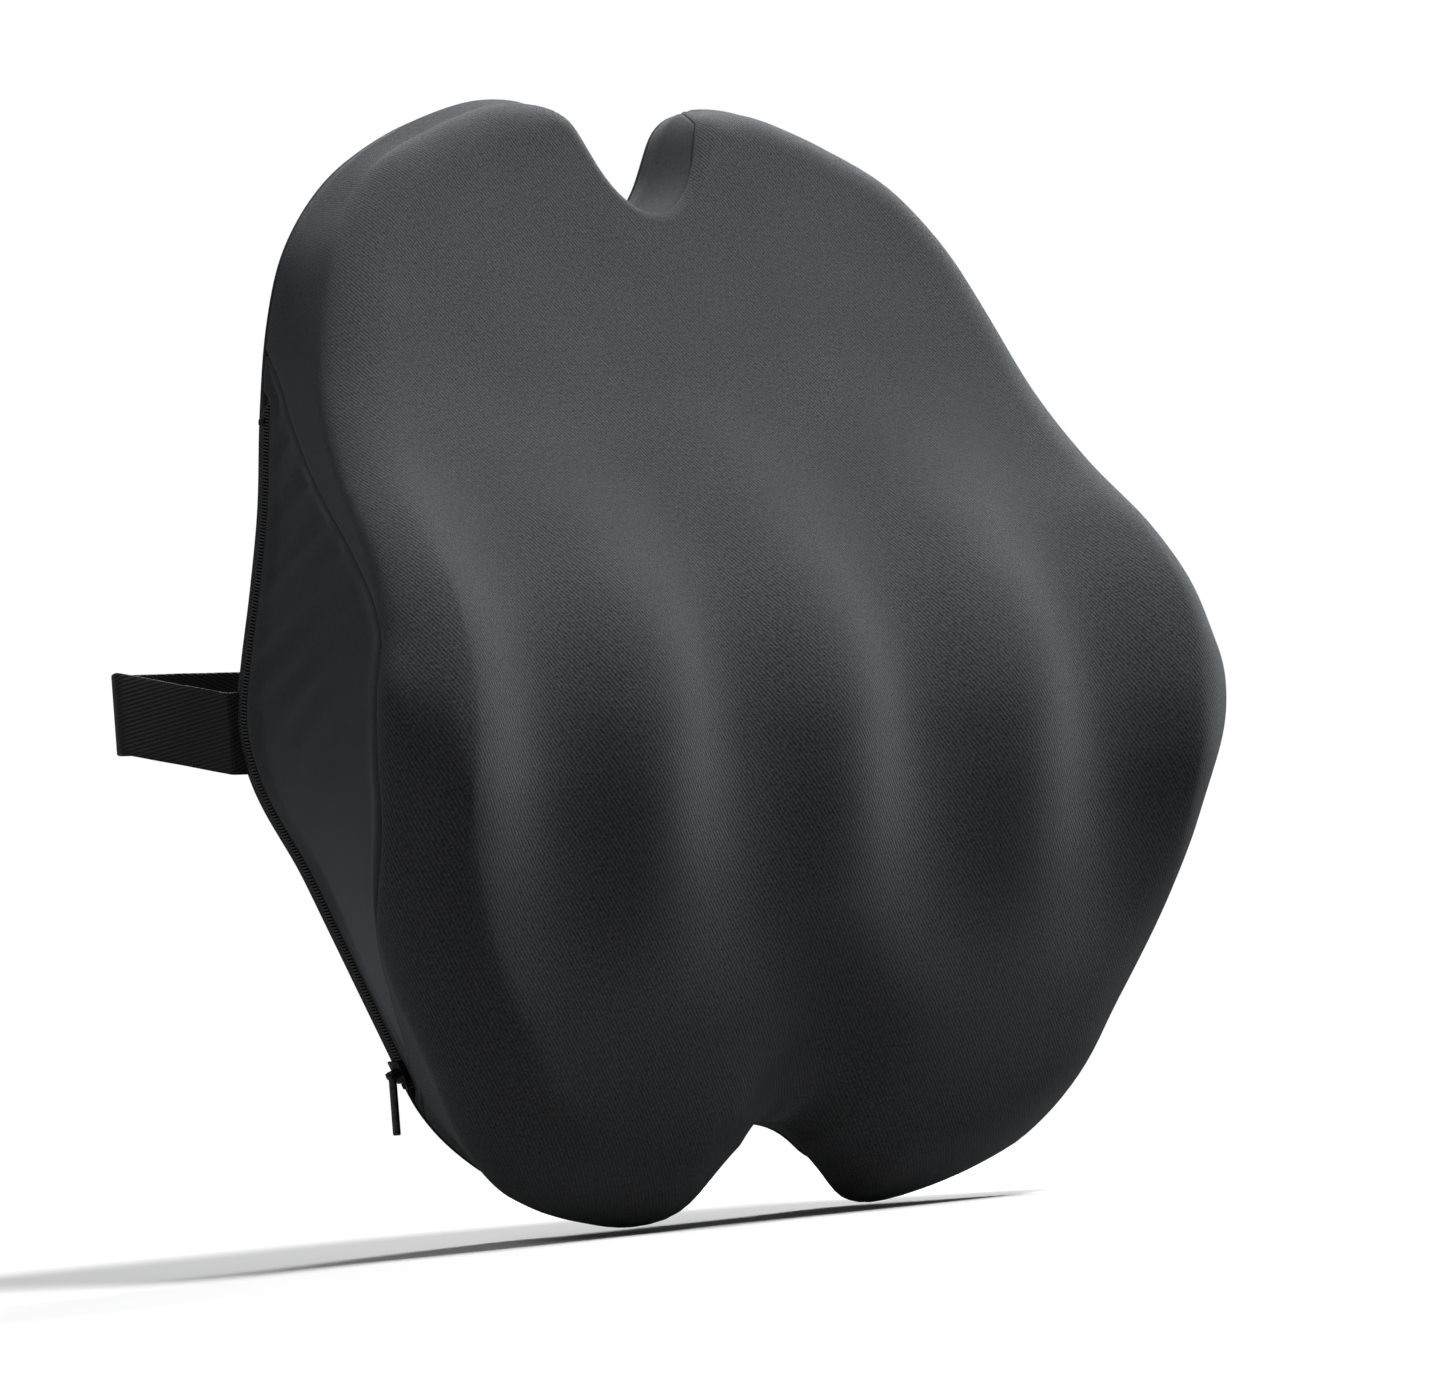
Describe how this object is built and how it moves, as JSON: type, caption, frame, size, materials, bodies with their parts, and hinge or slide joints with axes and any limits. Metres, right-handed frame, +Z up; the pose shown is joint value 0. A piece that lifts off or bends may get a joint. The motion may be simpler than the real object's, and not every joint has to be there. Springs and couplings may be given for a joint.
{
  "type": "lumbar support cushion",
  "caption": "Butterfly-shaped moulded foam back cushion in a zipped ribbed knit cover, strapped round a chair back with an elastic webbing loop and a side-release buckle.",
  "frame": {"origin": "middle of the flat back panel, on its centre line, 0.229 m below the tips of the upper lobes", "axes": "+Z up along the spine, -Y out of the front towards the sitter, +Y out of the back panel towards the backrest, +X to the right seen from the front"},
  "size_m": [0.4364, 0.1987, 0.451],
  "materials": {
    "memory_foam": "open-cell foam",
    "air_knit": "charcoal ribbed spacer knit",
    "jersey": "smooth dark knit",
    "zipper_tape": "woven tape",
    "zipper_coil": "nylon coil",
    "blackened_metal": "black electroplated zinc",
    "elastic_webbing": "ribbed elastic webbing",
    "moulded_nylon": "satin moulded"
  },
  "bodies": {
    "cushion": {"foam_core": "memory_foam", "cover_front_panel": "air_knit", "cover_side_gusset_left": "jersey", "cover_side_gusset_right": "jersey", "cover_top_notch_gusset": "jersey", "cover_back_panel": "jersey", "zipper_tape_back": "zipper_tape", "zipper_tape_front": "zipper_tape", "zipper_coil_back": "zipper_coil", "zipper_coil_front": "zipper_coil", "zipper_top_stop_back": "blackened_metal", "zipper_top_stop_front": "blackened_metal", "zipper_bottom_stop": "blackened_metal", "strap_left": "elastic_webbing", "strap_right": "elastic_webbing", "strap_anchor_left": "jersey", "strap_anchor_right": "jersey", "buckle_socket": "moulded_nylon"},
    "slider": {"zipper_slider": "blackened_metal"},
    "pull": {"zipper_pull_tab": "blackened_metal"},
    "adjuster": {"strap_tri_glide": "moulded_nylon"},
    "plug": {"buckle_plug": "moulded_nylon", "buckle_prong_upper": "moulded_nylon", "buckle_prong_lower": "moulded_nylon"}
  },
  "joints": [
    {"name": "zipper_slider_travel", "type": "slide", "parent": "cushion", "child": "slider", "axis": [-0.4081, 0, 0.9129], "range_m": [0, 0.06]},
    {"name": "zipper_pull_swing", "type": "hinge", "parent": "slider", "child": "pull", "pos_m": [-0.13005, -0.007, -0.156], "axis": [0, 1, 0], "range_deg": [-32, 155]},
    {"name": "tri_glide_adjust", "type": "slide", "parent": "cushion", "child": "adjuster", "axis": [1, 0, 0], "range_m": [-0.04, 0.06]},
    {"name": "buckle_release", "type": "slide", "parent": "cushion", "child": "plug", "axis": [1, 0, 0], "range_m": [0, 0.026], "deforming": ["strap_right", "buckle_prong_upper", "buckle_prong_lower"]}
  ]
}
